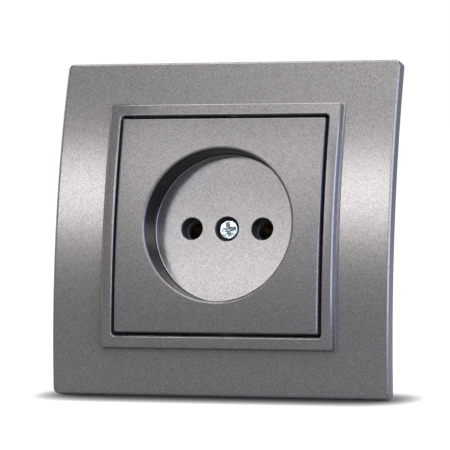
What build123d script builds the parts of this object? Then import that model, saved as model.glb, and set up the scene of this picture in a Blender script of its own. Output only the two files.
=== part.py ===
from build123d import *
import math
import os

# A flush wall socket without earth, for two round pins 19 mm apart. All sizes are in millimetres.
# +X is to the right and +Z is up, seen from the room. +Y goes into the wall. The wall's face is y = 0.
# The frame, its raised inner ring and the socket plate share one curve: an arch about a level axis,
# so that the middle of the socket stands furthest out and the top and bottom ends meet the wall.

# Outer frame
side_border = 15.15
end_border = 12.9
frame_corner = 1.5
arch_radius = 210.0
side_depth = 4.15
frame_wall = 2.0
frame_edge = 0.8
frame_skirt = 1.3
frame_rib = 1.2
frame_rib_spacing = 22.0

# Raised inner ring
bezel_proud = 2.45
bezel_band = 2.8
bezel_draft = 0.25
bezel_corner = 0.5
bezel_inner_corner = 0.9
bezel_edge = 0.45
flange_width = 0.6
flange_thickness = 0.4
bezel_skirt = 1.5
bezel_to_frame = 0.4
bezel_seat_gap = 0.02
hook_width = 6.0
hook_spacing = 34.0
hook_barb = 0.7
hook_ramp = 0.5
hook_clearance = 0.3
barb_gap = 0.1

# Socket plate with its round well
face_width = 54.4
face_height = 55.4
face_corner = 0.4
face_proud = 0.25
face_edge = 0.45
face_wall = 1.8
face_skirt = 1.5
side_gap = 0.75
end_gap = 0.9
face_rib = 1.2
face_rib_depth = 3.5
face_rib_count = 8

# Well
well_radius = 19.4
well_draft = 0.25
well_wall = 1.6
well_rim = 0.7
well_foot = 0.4
floor_thickness = 2.0
floor_gap = 0.58

# Pin holes and the contacts behind them
pin_spacing = 19.0
pin_hole_radius = 2.8
pin_hole_edge = 0.2
guide_clearance = 0.25
sleeve_radius = 2.2
contact_thickness = 0.6
sleeve_slot = 1.2
sleeve_flare = 0.5
clip_thickness = 0.4
clip_length = 5.0
clip_slot = 2.4
clip_set_back = 2.5
clip_clearance = 0.03

# Centre screw, which holds the socket plate on the base
screw_radius = 1.5
screw_head_radius = 2.5
screw_head_height = 1.7
screw_head_round = 0.55
screw_tip = 0.5
screw_sunk = 1.5
screw_well_clearance = 0.6
screw_boss_wall = 1.4
thread_clearance = 0.05
screw_hole_clearance = 0.2
recess_width = 0.8
recess_length = 3.0
recess_depth = 1.1
bush_radius = 3.4
bush_length = 8.0
bush_flange = 1.0
bush_flange_thickness = 1.0

# Steel mounting plate
plate_margin = 5.4
plate_chamfer = 9.0
plate_thickness = 1.0
plate_to_well = 0.5
box_screw_spacing = 60.0
box_screw_radius = 2.1

# Mechanism base and the cover over its contact chambers
base_depth = 24.0
base_floor = 5.5
base_corner = 4.0
base_wall = 1.8
base_relief = 3.5
relief_corner = 1.2
cover_thickness = 2.0
cover_lap = 1.5
cover_clearance = 0.15
chamber_clearance = 0.4
rivet_radius = 1.25
rivet_wall = 0.75
rivet_head_radius = 2.2
rivet_head_height = 0.8
rivet_head_round = 0.48
rivet_to_opening = 1.2
rivet_inset = 3.2
rivet_length = 7.0

# Tunnel terminals
terminal_length = 8.6
terminal_wall = 1.1
terminal_top = 2.0
terminal_rise = 3.6
clamp_thickness = 1.0
clamp_clearance = 0.2
terminal_screw_radius = 1.6
terminal_head_radius = 2.3
terminal_head_height = 1.6
terminal_screw_lift = 1.2
wire_radius = 1.3
wire_funnel = 0.35
wire_rib = 0.1
wire_side = 0.1
wire_play = 0.5

# Spreading claws
claw_thickness = 1.2
claw_width = 11.0
claw_reach = 21.0
claw_tab = 7.0
claw_foot = 3.6
claw_foot_drop = 1.8
claw_bend = 1.4
claw_to_base = 1.4
claw_lift = 2.2
claw_arm = 4.4
claw_swing = 15.0
tooth_count = 4
tooth_height = 1.2
trunnion_radius = 0.8
trunnion_clearance = 0.07
ear_thickness = 1.0
ear_clearance = 0.3
ear_margin = 0.8
claw_screw_radius = 1.5
claw_head_radius = 2.5
claw_head_height = 1.8
claw_screw_length = 12.0
claw_head_gap = 0.05
claw_head_to_well = 3.3
claw_slot_clearance = 0.3
claw_head_room = 0.7

# Cutting tools reach this far past what they cut, and edges are picked to within this distance
overshoot = 1.0
pick_distance = 0.01

# Places that follow from the sizes above
plate_front = -plate_thickness
ring_width = face_width + 2 * side_gap
ring_height = face_height + 2 * end_gap
skirt_width = ring_width + 2 * bezel_skirt
skirt_height = ring_height + 2 * bezel_skirt
opening_width = skirt_width + 2 * bezel_to_frame
opening_height = skirt_height + 2 * bezel_to_frame
frame_width = opening_width + 2 * side_border
frame_height = opening_height + 2 * end_border
plate_size = skirt_height + 2 * plate_margin

arch_axis = math.sqrt((arch_radius - side_depth) ** 2 - (frame_height / 2) ** 2)
bezel_radius = arch_radius + bezel_proud
face_radius = bezel_radius + face_proud
face_front = arch_axis - face_radius
floor_back = -floor_gap
floor_front = floor_back - floor_thickness
well_depth = floor_front - face_front
well_outside = well_radius + well_wall
plate_opening = well_outside + plate_to_well

screw_well_radius = screw_head_radius + screw_well_clearance
screw_seat = floor_front + screw_sunk + screw_head_height
boss_radius = screw_well_radius + screw_boss_wall

wire_spacing = 2 * (wire_radius + wire_funnel) + wire_rib
tunnel_width = wire_spacing + 2 * (wire_radius + wire_side)
tunnel_height = 2 * wire_radius + wire_play + clamp_clearance + clamp_thickness
terminal_width = tunnel_width + 2 * terminal_wall
terminal_height = terminal_wall + tunnel_height + terminal_top

pin_x = pin_spacing / 2
sleeve_outside = sleeve_radius + contact_thickness
clip_inside = sleeve_outside + clip_clearance
clip_outside = clip_inside + clip_thickness
chamber_half = terminal_width / 2 + chamber_clearance
chamber_floor = base_depth - base_floor
terminal_foot = clip_outside + terminal_rise
terminal_back = chamber_floor - contact_thickness - clamp_clearance
terminal_front = terminal_back - terminal_length
terminal_middle = terminal_back - terminal_length / 2
tunnel_floor = terminal_foot + terminal_wall
terminal_head_seat = terminal_foot + terminal_height + terminal_screw_lift
clamp_top = tunnel_floor + tunnel_height - clamp_clearance
chamber_top = terminal_head_seat + terminal_head_height + clamp_clearance
chamber_bottom = -clip_outside - chamber_clearance
cover_half_width = pin_x + chamber_half + cover_lap
cover_top = chamber_top + cover_lap
cover_bottom = chamber_bottom - cover_lap
wire_height = tunnel_floor + wire_radius

claw_screw_x = well_outside + claw_head_to_well + claw_head_radius
pivot_x = claw_screw_x - claw_arm
pivot_y = claw_lift + claw_thickness / 2
ear_reach = trunnion_radius + trunnion_clearance + ear_margin
swing = math.radians(claw_swing)
head_front = plate_front - claw_head_gap

base_width = 2 * (pivot_x - claw_thickness / 2 - claw_to_base)
rivet_circle = plate_opening + rivet_head_radius + rivet_to_opening
rivet_x = base_width / 2 - rivet_inset
rivet_z = math.sqrt(rivet_circle ** 2 - rivet_x ** 2)
base_height = 2 * (rivet_z + rivet_inset)


def slab(outline, front, back):
    """A flat outline, drawn as seen from the room, made solid from y = front to y = back."""
    return extrude(Plane.XZ.offset(-back) * outline, amount=back - front)


def arch(radius):
    """Everything behind a surface of the shared arch, at this radius from its level axis."""
    return Pos(0, arch_axis, 0) * Rot(0, 90, 0) * Cylinder(radius, 2 * frame_width)


def arched(outline, radius, back):
    """A flat outline made solid from the arched surface of this radius back to y = back."""
    return slab(outline, arch_axis - radius - overshoot, back) & arch(radius)


def rod(radius, front, back, x=0.0, z=0.0):
    """A round solid along Y."""
    return slab(Pos(x, z) * Circle(radius), front, back)


def edges_on_arch(solid, radius):
    """The edges that lie on the arched surface of this radius."""
    def gap(point):
        return abs(math.hypot(point.Y - arch_axis, point.Z) - radius)
    return [e for e in solid.edges() if max(gap(e @ 0), gap(e @ 0.5), gap(e @ 1)) < pick_distance]


def cross_recess():
    """A cross-shaped driver recess, drawn flat about its centre."""
    arm = Rectangle(recess_length, recess_width)
    return arm + Rot(0, 0, 90) * arm


def headed_screw(radius, head_radius, head_height, length):
    """A screw along Y with the underside of its head at y = 0 and its tip at y = length."""
    head = rod(head_radius, -head_height, 0)
    top_edge = head.edges().group_by(Axis.Y)[0]
    head = fillet(top_edge, screw_head_round)
    shank = rod(radius, 0, length)
    shank = chamfer(shank.edges().group_by(Axis.Y)[-1], screw_tip)
    return head + shank - slab(cross_recess(), -head_height, recess_depth - head_height)


def mirrored(solid):
    """The same piece for the left side."""
    return mirror(solid, about=Plane.YZ)


def claw_head_notches():
    """The room that the skirts leave for the heads of the claw screws, at any tilt."""
    depth = claw_head_height + 2 * claw_head_radius * math.sin(swing) + claw_head_room
    across = 2 * (claw_screw_x + claw_head_radius + claw_head_room)
    up = 2 * (claw_head_radius + claw_head_room)
    return slab(Rectangle(across, up), plate_front - depth, overshoot)


def make_outer_frame():
    """The arched frame: a thin moulding, open at the back, with a skirt round its opening."""
    outline = RectangleRounded(frame_width, frame_height, frame_corner)
    inside = Rectangle(frame_width - 2 * frame_wall, frame_height - 2 * frame_wall)
    opening = Rectangle(opening_width, opening_height)
    skirt = Rectangle(opening_width + 2 * frame_skirt, opening_height + 2 * frame_skirt)
    inner = arch_radius - frame_wall / 2
    body = arched(outline, arch_radius, 0)
    body = fillet(edges_on_arch(body, arch_radius), frame_edge)
    body -= arch(arch_radius - side_depth)
    body -= arched(inside, arch_radius - frame_wall, 0)
    body += arched(skirt, inner, plate_front)
    body += arched(frame_ribs(), inner, 0) - arch(arch_radius - side_depth)
    for side in (-1, 1):
        foot = Pos(0, side * (frame_height - frame_wall) / 2)
        foot *= Rectangle(frame_width - 2 * frame_wall, frame_wall)
        body += arched(foot, inner, 0)
    body -= slab(opening, face_front, overshoot)
    return body - claw_head_notches()


def frame_ribs():
    """The ribs behind the frame's face, drawn flat. Its opening cuts them where they cross it."""
    ribs = Sketch()
    for place in (-frame_rib_spacing, 0, frame_rib_spacing):
        ribs += Pos(place, 0) * Rectangle(frame_rib, frame_height - frame_wall)
        ribs += Pos(0, place) * Rectangle(frame_width - frame_wall, frame_rib)
    return ribs


def make_hooks():
    """The hooks that snap the inner ring into the mounting plate, at the top and the bottom."""
    inner = ring_height / 2
    outer = inner + bezel_skirt
    tip = hook_barb + plate_thickness
    profile = Polyline(
        (plate_front - overshoot, inner),
        (tip, inner),
        (tip, outer),
        (tip - hook_ramp, outer + hook_barb),
        (barb_gap, outer + hook_barb),
        (barb_gap, outer),
        (plate_front - overshoot, outer),
        close=True,
    )
    hook = extrude(Plane.YZ.offset(-hook_width / 2) * make_face(profile), amount=hook_width)
    hooks = [Pos(side * hook_spacing / 2, 0, 0) * hook for side in (-1, 1)]
    return hooks + [mirror(h, about=Plane.XY) for h in hooks]


def make_inner_bezel():
    """The raised inner ring: a band with a thin foot on the frame, and a skirt that goes through it."""
    face = RectangleRounded(ring_width + 2 * bezel_band, ring_height + 2 * bezel_band, bezel_corner)
    foot_size = 2 * (bezel_band + bezel_draft + flange_width)
    foot = RectangleRounded(ring_width + foot_size, ring_height + foot_size, bezel_corner + flange_width)
    skirt = RectangleRounded(skirt_width, skirt_height, bezel_corner)
    ring = RectangleRounded(ring_width, ring_height, bezel_inner_corner)
    top = arch_axis - bezel_radius
    slope = math.degrees(math.atan2(bezel_draft, bezel_proud))
    seat = arch(arch_radius + bezel_seat_gap)
    band = extrude(Plane.XZ.offset(-top) * face, amount=top - plate_front, taper=-slope)
    band = (band & arch(bezel_radius)) - seat
    band += arched(foot, arch_radius + flange_thickness, 0) - seat
    band += arched(skirt, bezel_radius - bezel_proud / 2, plate_front - thread_clearance)
    band -= slab(ring, top - overshoot, overshoot)
    band = fillet(edges_on_arch(band, bezel_radius), bezel_edge)
    band -= claw_head_notches()
    for hook in make_hooks():
        band += hook
    return band


def make_socket_face():
    """The socket plate: an arched plate with a round well, a screw boss and two pin holes."""
    outline = RectangleRounded(face_width, face_height, face_corner)
    inside = Rectangle(face_width - 2 * face_skirt, face_height - 2 * face_skirt)
    inner = face_radius - face_wall / 2
    body = arched(outline, face_radius, plate_front)
    body = fillet(edges_on_arch(body, face_radius), face_edge)
    body -= arched(inside, face_radius - face_wall, plate_front)
    body += arched(face_ribs(), inner, face_front + face_wall + face_rib_depth)
    body -= claw_head_notches()
    body += arched(Circle(well_outside), inner, floor_back)
    body += rod(boss_radius, floor_front + floor_thickness / 2, cover_thickness - cover_clearance)
    body -= well_hollow()
    body = fillet(well_rim_edges(body), well_rim)
    for side in (-1, 1):
        body -= rod(pin_hole_radius, floor_front - overshoot, floor_back + overshoot, side * pin_x)
    body -= rod(screw_well_radius, floor_front - overshoot, screw_seat)
    body -= rod(screw_radius + screw_hole_clearance, screw_seat - overshoot, base_depth)
    return chamfer(floor_hole_edges(body), pin_hole_edge)


def face_ribs():
    """The ribs that run out from the well behind the socket plate, drawn flat."""
    ribs = Sketch()
    for turn in range(face_rib_count // 2):
        angle = 180.0 * (turn + 0.5) / (face_rib_count // 2)
        ribs += Rot(0, 0, angle) * Rectangle(2 * face_width, face_rib)
    return ribs & Rectangle(face_width - face_skirt, face_height - face_skirt)


def well_hollow():
    """The inside of the well, twice as long as the well is deep. It widens towards its mouth."""
    hollow = Cone(well_radius, well_radius + 2 * well_draft, 2 * well_depth)
    hollow = fillet(hollow.edges().sort_by(Axis.Z)[0], well_foot)
    return Pos(0, floor_front - well_depth, 0) * Rot(90, 0, 0) * hollow


def well_rim_edges(solid):
    """The edge where the well meets the arched plate."""
    reach = well_radius + 2 * well_draft
    return [e for e in edges_on_arch(solid, face_radius) if math.hypot((e @ 0.5).X, (e @ 0.5).Z) < reach]


def floor_hole_edges(solid):
    """The round edges of the pin holes and the screw well, at the floor of the well."""
    small = [e for e in solid.edges().filter_by(GeomType.CIRCLE) if e.radius < boss_radius]
    return [e for e in small if abs((e @ 0).Y - floor_front) < pick_distance]


def make_face_screw():
    """The centre screw."""
    length = cover_thickness + bush_length - screw_seat
    screw = headed_screw(screw_radius, screw_head_radius, screw_head_height, length)
    return Pos(0, screw_seat, 0) * screw


def make_mounting_plate():
    """The steel plate that is screwed to the wall box and carries the base, the frame and the claws."""
    outline = chamfer(Rectangle(plate_size, plate_size).vertices(), plate_chamfer)
    outline -= Circle(plate_opening)
    slot_height = 2 * (claw_screw_radius + claw_slot_clearance)
    slot = SlotOverall(slot_height + claw_slot_shift(), slot_height)
    hook_depth = bezel_skirt + hook_clearance + thread_clearance
    hook_hole = Rectangle(hook_width + 2 * hook_clearance, hook_depth)
    hook_middle = ring_height / 2 - thread_clearance + hook_depth / 2
    for side in (-1, 1):
        outline -= Pos(side * (claw_screw_x - claw_slot_shift() / 2), 0) * slot
        outline -= Pos(0, side * box_screw_spacing / 2) * Circle(box_screw_radius)
        for other in (-1, 1):
            outline -= Pos(other * hook_spacing / 2, side * hook_middle) * hook_hole
            outline -= Pos(other * rivet_x, side * rivet_z) * Circle(rivet_radius + thread_clearance)
    plate = slab(outline, plate_front, 0)
    ears = make_ears()
    for ear in ears + [mirrored(e) for e in ears]:
        plate += ear
    return plate


def claw_slot_shift():
    """How far the claw screw moves inwards at the plate when the claw is fully spread."""
    arm_x = claw_arm * math.cos(swing)
    arm_y = pivot_y - claw_arm * math.sin(swing)
    return claw_arm - arm_x + (arm_y - plate_front) * math.tan(swing)


def make_ears():
    """The two ears bent back from the plate, which carry the right-hand claw's trunnions."""
    root = plate_front / 2
    blank = Pos(pivot_x, (pivot_y + root) / 2) * Rectangle(2 * ear_reach, pivot_y - root)
    blank += Pos(pivot_x, pivot_y) * Circle(ear_reach)
    blank -= Pos(pivot_x, pivot_y) * Circle(trunnion_radius + trunnion_clearance)
    ear = extrude(blank, amount=ear_thickness)
    inner = claw_width / 2 + ear_clearance
    return [Pos(0, 0, inner) * ear, Pos(0, 0, -inner - ear_thickness) * ear]


def make_mechanism_base():
    """The moulded base, with a chamber for each contact and its terminal."""
    base = slab(RectangleRounded(base_width, base_height, base_corner), 0, base_depth)
    base = chamfer(base.edges().group_by(Axis.Y)[-1], wire_funnel)
    base -= slab(cover_outline(cover_clearance), -overshoot, cover_thickness)
    base -= rod(bush_radius, 0, cover_thickness + bush_length)
    base -= rod(bush_radius + bush_flange, 0, cover_thickness + bush_flange_thickness)
    base -= slab(base_reliefs(), base_depth - base_relief, base_depth + overshoot)
    chamber = Rectangle(2 * chamber_half, chamber_top - chamber_bottom)
    access = Circle(terminal_head_radius + clamp_clearance)
    for side in (-1, 1):
        x = side * pin_x
        base -= slab(Pos(x, (chamber_top + chamber_bottom) / 2) * chamber, 0, chamber_floor)
        base -= Pos(x, terminal_middle, 0) * extrude(access, amount=base_height)
        for offset in (-wire_spacing / 2, wire_spacing / 2):
            wire_back = base_depth + overshoot
            base -= rod(wire_radius, chamber_floor - overshoot, wire_back, x + offset, wire_height)
        for other in (-1, 1):
            base -= rod(rivet_radius, -overshoot, rivet_length, side * rivet_x, other * rivet_z)
    return chamfer(wire_hole_edges(base), wire_funnel)


def base_reliefs():
    """The shallow hollows in the back of the base, drawn flat: two below and one between the terminals."""
    outer_x = base_width / 2 - base_wall
    outer_z = base_height / 2 - base_wall
    lower_top = chamber_bottom - base_wall
    width = outer_x - base_wall / 2
    lower = RectangleRounded(width, lower_top + outer_z, relief_corner)
    lower_middle = (lower_top - outer_z) / 2
    upper_foot = bush_radius + base_wall
    middle_width = 2 * (pin_x - chamber_half - base_wall)
    reliefs = Pos(0, (outer_z + upper_foot) / 2)
    reliefs *= RectangleRounded(middle_width, outer_z - upper_foot, relief_corner)
    for side in (-1, 1):
        reliefs += Pos(side * (outer_x - width / 2), lower_middle) * lower
    return reliefs


def wire_hole_edges(base):
    """The round edges of the wire holes, at the back of the base."""
    circles = base.edges().filter_by(GeomType.CIRCLE)
    wire_size = [e for e in circles if abs(e.radius - wire_radius) < pick_distance]
    return [e for e in wire_size if abs((e @ 0).Y - base_depth) < pick_distance]


def cover_outline(margin):
    """The outline of the contact cover, made larger by a margin, with its corners clear of the rivets."""
    height = cover_top - cover_bottom + 2 * margin
    outline = Rectangle(2 * (cover_half_width + margin), height)
    outline = Pos(0, (cover_top + cover_bottom) / 2) * outline
    for side in (-1, 1):
        outline -= Pos(side * rivet_x, rivet_z) * Circle(rivet_radius + rivet_wall - margin)
    return outline


def make_contact_cover():
    """The insulating cover over the contact chambers, with a guide hole for each pin."""
    outline = cover_outline(0)
    outline -= Circle(boss_radius + guide_clearance)
    for side in (-1, 1):
        outline -= Pos(side * pin_x, 0) * Circle(pin_hole_radius + guide_clearance)
    return slab(outline, 0, cover_thickness)


def make_centre_bush():
    """The flanged brass bush, which takes the centre screw."""
    bush = rod(bush_radius, cover_thickness, cover_thickness + bush_length)
    bush += rod(bush_radius + bush_flange, cover_thickness, cover_thickness + bush_flange_thickness)
    return bush - rod(screw_radius + thread_clearance, 0, base_depth)


def make_contact():
    """The right-hand contact: a split sleeve, a spine behind it and a shelf that carries the terminal."""
    front = cover_thickness + clamp_clearance
    spine_front = chamber_floor - contact_thickness
    sleeve = Circle(sleeve_outside) - Circle(sleeve_radius)
    sleeve -= Pos(0, -sleeve_outside) * Rectangle(sleeve_slot, 2 * sleeve_outside)
    solid = slab(sleeve, front, spine_front + contact_thickness / 2)
    mouth = Cone(sleeve_radius + sleeve_flare, sleeve_radius, 2 * sleeve_flare)
    solid -= Pos(0, front + sleeve_flare, 0) * Rot(-90, 0, 0) * mouth
    spine_height = terminal_foot + sleeve_outside
    spine = Pos(0, terminal_foot - spine_height / 2) * Rectangle(2 * sleeve_outside, spine_height)
    solid += slab(spine, spine_front, chamber_floor)
    shelf = Pos(0, terminal_foot - contact_thickness / 2) * Rectangle(2 * sleeve_outside, contact_thickness)
    solid += slab(shelf, terminal_front, chamber_floor)
    return Pos(pin_x, 0, 0) * solid


def make_contact_clip():
    """The steel spring clip that keeps the right-hand sleeve closed on its pin."""
    ring = Circle(clip_outside) - Circle(clip_inside)
    ring -= Pos(0, -clip_outside) * Rectangle(clip_slot, 2 * clip_outside)
    front = cover_thickness + clip_set_back
    return Pos(pin_x, 0, 0) * slab(ring, front, front + clip_length)


def make_terminal_block():
    """The right-hand terminal: a brass block with a tunnel for two wires, open at its back."""
    block = Pos(0, terminal_foot + terminal_height / 2) * Rectangle(terminal_width, terminal_height)
    block -= Pos(0, tunnel_floor + tunnel_height / 2) * Rectangle(tunnel_width, tunnel_height)
    solid = slab(block, terminal_front, terminal_back)
    thread = extrude(Circle(terminal_screw_radius + thread_clearance), amount=base_height)
    solid -= Pos(0, terminal_middle, terminal_foot + terminal_height / 2) * thread
    return Pos(pin_x, 0, 0) * solid


def make_terminal_screw():
    """The right-hand terminal screw, which is turned from above."""
    length = terminal_head_seat - clamp_top
    screw = headed_screw(terminal_screw_radius, terminal_head_radius, terminal_head_height, length)
    return Pos(pin_x, terminal_middle, terminal_head_seat) * Rot(-90, 0, 0) * screw


def make_terminal_clamp():
    """The right-hand clamp plate, which the terminal screw presses on the wires."""
    plate = Box(tunnel_width - 2 * clamp_clearance, terminal_length - 2 * terminal_wall, clamp_thickness)
    plate = fillet(plate.edges().filter_by(Axis.Z), clamp_clearance)
    return Pos(pin_x, terminal_middle, clamp_top - clamp_thickness / 2) * plate


def make_rivet(x, z):
    """One of the rivets that hold the base to the mounting plate."""
    head = rod(rivet_head_radius, plate_front - rivet_head_height, plate_front, x, z)
    head = fillet(head.edges().group_by(Axis.Y)[0], rivet_head_round)
    return head + rod(rivet_radius, plate_front, rivet_length, x, z)


def make_claw():
    """The right-hand claw, folded from steel strip: a tab for its screw, a leg and a toothed foot."""
    foot_y = claw_lift + claw_reach
    corners = [
        (pivot_x + claw_tab, pivot_y),
        (pivot_x, pivot_y),
        (pivot_x, foot_y),
        (pivot_x + claw_foot, foot_y + claw_foot_drop),
    ]
    strip = trace(FilletPolyline(*corners, radius=claw_bend), claw_thickness)
    claw = Pos(0, 0, -claw_width / 2) * extrude(strip, amount=claw_width)
    claw -= rod(claw_screw_radius + thread_clearance, -overshoot, pivot_y + claw_thickness, claw_screw_x)
    pitch = claw_width / tooth_count
    for tooth in range(tooth_count + 1):
        notch = Pos(pivot_x + claw_foot, (tooth - tooth_count / 2) * pitch) * tooth_notch(pitch)
        claw -= slab(notch, foot_y - claw_thickness, foot_y + claw_foot + claw_thickness)
    length = claw_width + 2 * (ear_clearance + ear_thickness)
    claw += Pos(pivot_x, pivot_y, 0) * Cylinder(trunnion_radius, length)
    return claw


def tooth_notch(pitch):
    """One of the notches that cut the end of the claw's foot into teeth."""
    end = claw_thickness
    return make_face(Polyline((-tooth_height, 0), (end, -pitch / 2), (end, pitch / 2), close=True))


def make_claw_screw():
    """The right-hand claw screw. Its head bears on the plate and its thread draws the claw's tab."""
    screw = headed_screw(claw_screw_radius, claw_head_radius, claw_head_height, claw_screw_length)
    return Pos(claw_screw_x, head_front, 0) * screw


def make_parts():
    """Every separate piece, by name."""
    parts = {
        "outer_frame": make_outer_frame(),
        "inner_bezel": make_inner_bezel(),
        "socket_face": make_socket_face(),
        "face_screw": make_face_screw(),
        "mounting_plate": make_mounting_plate(),
        "mechanism_base": make_mechanism_base(),
        "contact_cover": make_contact_cover(),
        "centre_bush": make_centre_bush(),
    }
    right_hand = {
        "contact": make_contact(),
        "contact_clip": make_contact_clip(),
        "terminal_block": make_terminal_block(),
        "terminal_screw": make_terminal_screw(),
        "terminal_clamp": make_terminal_clamp(),
        "claw": make_claw(),
        "claw_screw": make_claw_screw(),
    }
    for name, solid in right_hand.items():
        parts[name + "_right"] = solid
        parts[name + "_left"] = mirrored(solid)
    for row, z in (("upper", rivet_z), ("lower", -rivet_z)):
        for side, x in (("left", -rivet_x), ("right", rivet_x)):
            parts[f"rivet_{row}_{side}"] = make_rivet(x, z)
    return parts


os.makedirs("parts", exist_ok=True)
for name, solid in make_parts().items():
    export_step(solid, os.path.join("parts", name + ".step"))
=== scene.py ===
# %% [markdown]
# This is a flush wall socket for two round pins: an arched frame, a raised ring, a plate with a round
# well, and the mechanism behind them. Its solids come packed from the part's source, at their real size
# and in metres. They could be modelled again here, but then the picture and the part might drift apart. So
# this lesson only dresses them: each piece gets the finish of the real one, and a small studio lights it.

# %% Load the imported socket
import math

import bmesh
import bpy
from mathutils import Matrix, Vector


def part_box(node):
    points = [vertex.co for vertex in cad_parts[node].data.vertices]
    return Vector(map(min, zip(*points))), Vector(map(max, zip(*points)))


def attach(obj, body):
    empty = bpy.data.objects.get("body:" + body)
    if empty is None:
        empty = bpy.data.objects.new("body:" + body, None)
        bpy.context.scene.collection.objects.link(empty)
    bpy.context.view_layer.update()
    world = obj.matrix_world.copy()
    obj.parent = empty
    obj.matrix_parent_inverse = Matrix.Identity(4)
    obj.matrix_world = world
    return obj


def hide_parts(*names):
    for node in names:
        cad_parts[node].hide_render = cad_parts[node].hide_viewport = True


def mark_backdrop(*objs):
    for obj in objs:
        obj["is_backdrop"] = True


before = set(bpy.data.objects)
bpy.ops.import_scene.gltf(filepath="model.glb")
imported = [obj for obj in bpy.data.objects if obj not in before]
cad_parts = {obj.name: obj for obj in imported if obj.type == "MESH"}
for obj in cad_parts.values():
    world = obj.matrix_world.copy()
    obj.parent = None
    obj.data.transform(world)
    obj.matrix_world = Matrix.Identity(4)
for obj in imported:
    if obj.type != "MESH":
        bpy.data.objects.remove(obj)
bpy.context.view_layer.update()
MM = 0.001
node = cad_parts
print("pieces:", len(node))

# %% [markdown]
# The photograph was taken from the right of the socket and from a little below its middle. A camera could
# be placed by eye and nudged until the picture fits. Here its angles were fitted instead: the pin holes
# are 19 mm apart, which gives the scale, and the frame's curved edges give the direction. Three angles are
# kept, because each can be read and changed by itself, and the camera's own directions are worked out from
# them.

# %% Camera directions
CAMERA_YAW = math.radians(17.47)
CAMERA_PITCH = math.radians(-7.409)
CAMERA_ROLL = math.radians(2.414)


def camera_axes(yaw, pitch, roll):
    """The camera's right, up and forward directions."""
    flat = math.cos(pitch)
    ahead = Vector((-math.sin(yaw) * flat, math.cos(yaw) * flat, -math.sin(pitch)))
    level = Vector((math.cos(yaw), math.sin(yaw), 0))
    upright = level.cross(ahead)
    right = math.cos(roll) * level + math.sin(roll) * upright
    up = -math.sin(roll) * level + math.cos(roll) * upright
    return right, up, ahead


camera_right, camera_up, camera_ahead = camera_axes(CAMERA_YAW, CAMERA_PITCH, CAMERA_ROLL)
print("camera looks along", [round(part, 3) for part in camera_ahead])

# %% [markdown]
# A picture of a small product is taken with a long lens from well back, which keeps its far side from
# looking small. A wide lens close by would fill the picture as well, but would bend the frame. The fit
# gives the lens in pixels of the picture, and the camera wants millimetres on its sensor, so the two
# widths turn one into the other. The distance is measured from the floor of the well, and two small shifts
# centre the picture.

# %% Camera
CAMERA_DISTANCE = 774.169 * MM
CAMERA_SHIFT_RIGHT = 0.514 * MM
CAMERA_SHIFT_UP = -0.98 * MM
WELL_FLOOR_FRONT = -2.58 * MM
FOCAL_PIXELS = 3003.98
IMAGE_WIDTH = 450
SENSOR_WIDTH = 36.0
NEAREST_SEEN = 0.01
FARTHEST_SEEN = 20


def make_camera():
    """The photograph's camera."""
    place = -CAMERA_SHIFT_RIGHT * camera_right - CAMERA_SHIFT_UP * camera_up
    place -= CAMERA_DISTANCE * camera_ahead
    place.y += WELL_FLOOR_FRONT
    data = bpy.data.cameras.new("camera")
    data.sensor_width = SENSOR_WIDTH
    data.lens = FOCAL_PIXELS / IMAGE_WIDTH * SENSOR_WIDTH
    data.clip_start = NEAREST_SEEN
    data.clip_end = FARTHEST_SEEN
    made = bpy.data.objects.new("camera", data)
    turn = Matrix((camera_right, camera_up, -camera_ahead)).transposed().to_4x4()
    made.matrix_world = Matrix.Translation(place) @ turn
    bpy.context.scene.collection.objects.link(made)
    bpy.context.scene.camera = made
    return made


camera = make_camera()
print("camera at", [round(part, 3) for part in camera.matrix_world.translation])

# %% [markdown]
# A finish is a network of nodes: some give a place or a pattern, some change numbers, and the main shader
# turns the result into a surface. The nodes could be placed and joined one by one, but every finish would
# then be pages long. With a few helpers, the finishes below read almost like sentences. The first three
# start a material, add a node with its settings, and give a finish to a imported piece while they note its
# name.

# %% Helpers for materials and nodes
dressed = []


def start_material(name, metallic=0.0, roughness=0.5):
    """A new material with its node tree and its main shader."""
    material = bpy.data.materials.new(name)
    material.use_nodes = True
    tree = material.node_tree
    shader = tree.nodes["Principled BSDF"]
    shader.inputs["Metallic"].default_value = metallic
    shader.inputs["Roughness"].default_value = roughness
    return material, tree, shader


def add_node(tree, kind, settings=None, **values):
    """A new node. Settings are its options, and values are its inputs by name, with _ for a space."""
    new = tree.nodes.new(kind)
    for option, value in (settings or {}).items():
        setattr(new, option, value)
    for socket, value in values.items():
        new.inputs[socket.replace("_", " ")].default_value = value
    return new


def dress(name, material):
    """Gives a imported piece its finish."""
    mesh = node[name].data
    mesh.materials.clear()
    mesh.materials.append(material)
    dressed.append(name)


print("helpers for materials and nodes are ready")

# %% [markdown]
# On a real surface most things change from place to place: paint ends at an edge, and a shadow fades. Such
# a change is a number that goes from 0 to 1. It could be painted by hand, but a painting fits one mesh
# only. Worked out from the place on the object, it still fits when a size changes. Object coordinates are
# used, because they stay with a piece when the piece moves.

# %% Helpers for places
def object_place(tree, stretch=(1, 1, 1), shift=(0, 0, 0)):
    """Object coordinates in metres, stretched along each axis and then shifted."""
    place = add_node(tree, "ShaderNodeTexCoord")
    mapping = add_node(tree, "ShaderNodeMapping", Scale=stretch, Location=shift)
    tree.links.new(place.outputs["Object"], mapping.inputs["Vector"])
    return mapping.outputs["Vector"]


def xyz(tree, vector):
    """The three parts of a vector."""
    parts = add_node(tree, "ShaderNodeSeparateXYZ")
    tree.links.new(vector, parts.inputs["Vector"])
    return parts.outputs


def facing(tree):
    """How far a face looks away from the front: -1 straight at the front, 1 straight at the wall."""
    return xyz(tree, add_node(tree, "ShaderNodeNewGeometry").outputs["Normal"])["Y"]


print("helpers for places are ready")

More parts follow.
